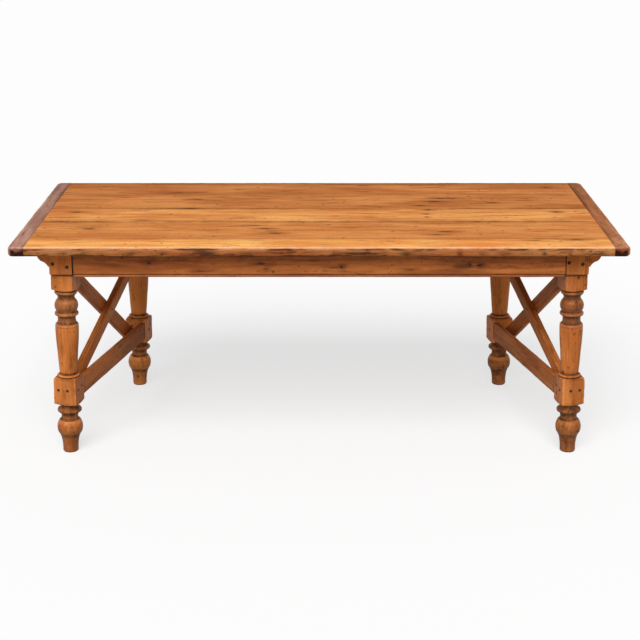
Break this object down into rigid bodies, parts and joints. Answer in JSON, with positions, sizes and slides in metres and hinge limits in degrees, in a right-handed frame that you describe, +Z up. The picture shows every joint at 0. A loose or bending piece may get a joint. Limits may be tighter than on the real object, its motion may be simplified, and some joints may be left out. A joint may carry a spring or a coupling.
{
  "type": "folding dining table",
  "caption": "Plank-topped dining table with breadboard ends, a beaded apron and turned legs in cross-braced end frames that hinge at the top and fold inwards flat.",
  "frame": {"origin": "on the floor, under the middle of the top", "axes": "+X along the table to the right, +Y from the front edge to the back edge, +Z up"},
  "size_m": [2.004, 1, 0.76],
  "materials": {
    "top_pine": "old waxed pine, honey orange",
    "breadboard_wood": "old waxed pine, darker",
    "apron_wood": "old waxed pine, red brown",
    "cleat_wood": "old waxed pine, red brown",
    "leg_wood": "turned pine, waxed to a soft gloss",
    "brace_wood": "old waxed pine, brown",
    "peg_wood": "dark hardwood",
    "inner_pine": "bare aged pine",
    "hinge_iron": "blackened wrought iron",
    "screw_steel": "dull steel",
    "nail_iron": "dark iron"
  },
  "bodies": {
    "table_top": {"top_board_1": "top_pine", "top_board_2": "top_pine", "top_board_3": "top_pine", "top_board_4": "top_pine", "top_board_5": "top_pine", "breadboard_left": "breadboard_wood", "breadboard_right": "breadboard_wood", "board_splines": "peg_wood", "breadboard_pegs": "peg_wood", "end_cleat_left": "cleat_wood", "end_cleat_right": "cleat_wood", "cleat_nails": "nail_iron", "apron_front": "apron_wood", "apron_back": "apron_wood", "apron_pegs": "peg_wood", "end_rail_left": "apron_wood", "end_rail_right": "apron_wood", "corner_block_front_left": "apron_wood", "corner_block_front_right": "apron_wood", "corner_block_back_left": "apron_wood", "corner_block_back_right": "apron_wood", "hinge_rail_left": "inner_pine", "hinge_rail_right": "inner_pine", "cross_bearer_left": "inner_pine", "cross_bearer_right": "inner_pine", "glue_blocks": "inner_pine", "rail_hinge_screws": "screw_steel", "hinge_fixed_leaf_front_left": "hinge_iron", "hinge_fixed_leaf_front_right": "hinge_iron", "hinge_fixed_leaf_back_left": "hinge_iron", "hinge_fixed_leaf_back_right": "hinge_iron", "hinge_pin_front_left": "hinge_iron", "hinge_pin_front_right": "hinge_iron", "hinge_pin_back_left": "hinge_iron", "hinge_pin_back_right": "hinge_iron"},
    "left_leg_frame": {"leg_front_left": "leg_wood", "leg_back_left": "leg_wood", "top_rail_left": "inner_pine", "stretcher_left": "brace_wood", "brace_outer_left": "brace_wood", "brace_inner_left": "brace_wood", "brace_rivet_left": "nail_iron", "brace_dowels_left": "peg_wood", "frame_pegs_left": "peg_wood", "leg_hinge_screws_left": "screw_steel", "hinge_moving_leaf_front_left": "hinge_iron", "hinge_moving_leaf_back_left": "hinge_iron"},
    "right_leg_frame": {"leg_front_right": "leg_wood", "leg_back_right": "leg_wood", "top_rail_right": "inner_pine", "stretcher_right": "brace_wood", "brace_outer_right": "brace_wood", "brace_inner_right": "brace_wood", "brace_rivet_right": "nail_iron", "brace_dowels_right": "peg_wood", "frame_pegs_right": "peg_wood", "leg_hinge_screws_right": "screw_steel", "hinge_moving_leaf_front_right": "hinge_iron", "hinge_moving_leaf_back_right": "hinge_iron"}
  },
  "joints": [
    {"name": "left_frame_hinge", "type": "hinge", "parent": "table_top", "child": "left_leg_frame", "pos_m": [-0.7153, -0.01133, 0.638], "axis": [-0.2266, -0.974, 0], "range_deg": [0, 90]},
    {"name": "right_frame_hinge", "type": "hinge", "parent": "table_top", "child": "right_leg_frame", "pos_m": [0.7153, -0.01133, 0.638], "axis": [-0.2266, 0.974, 0], "range_deg": [0, 90]}
  ]
}
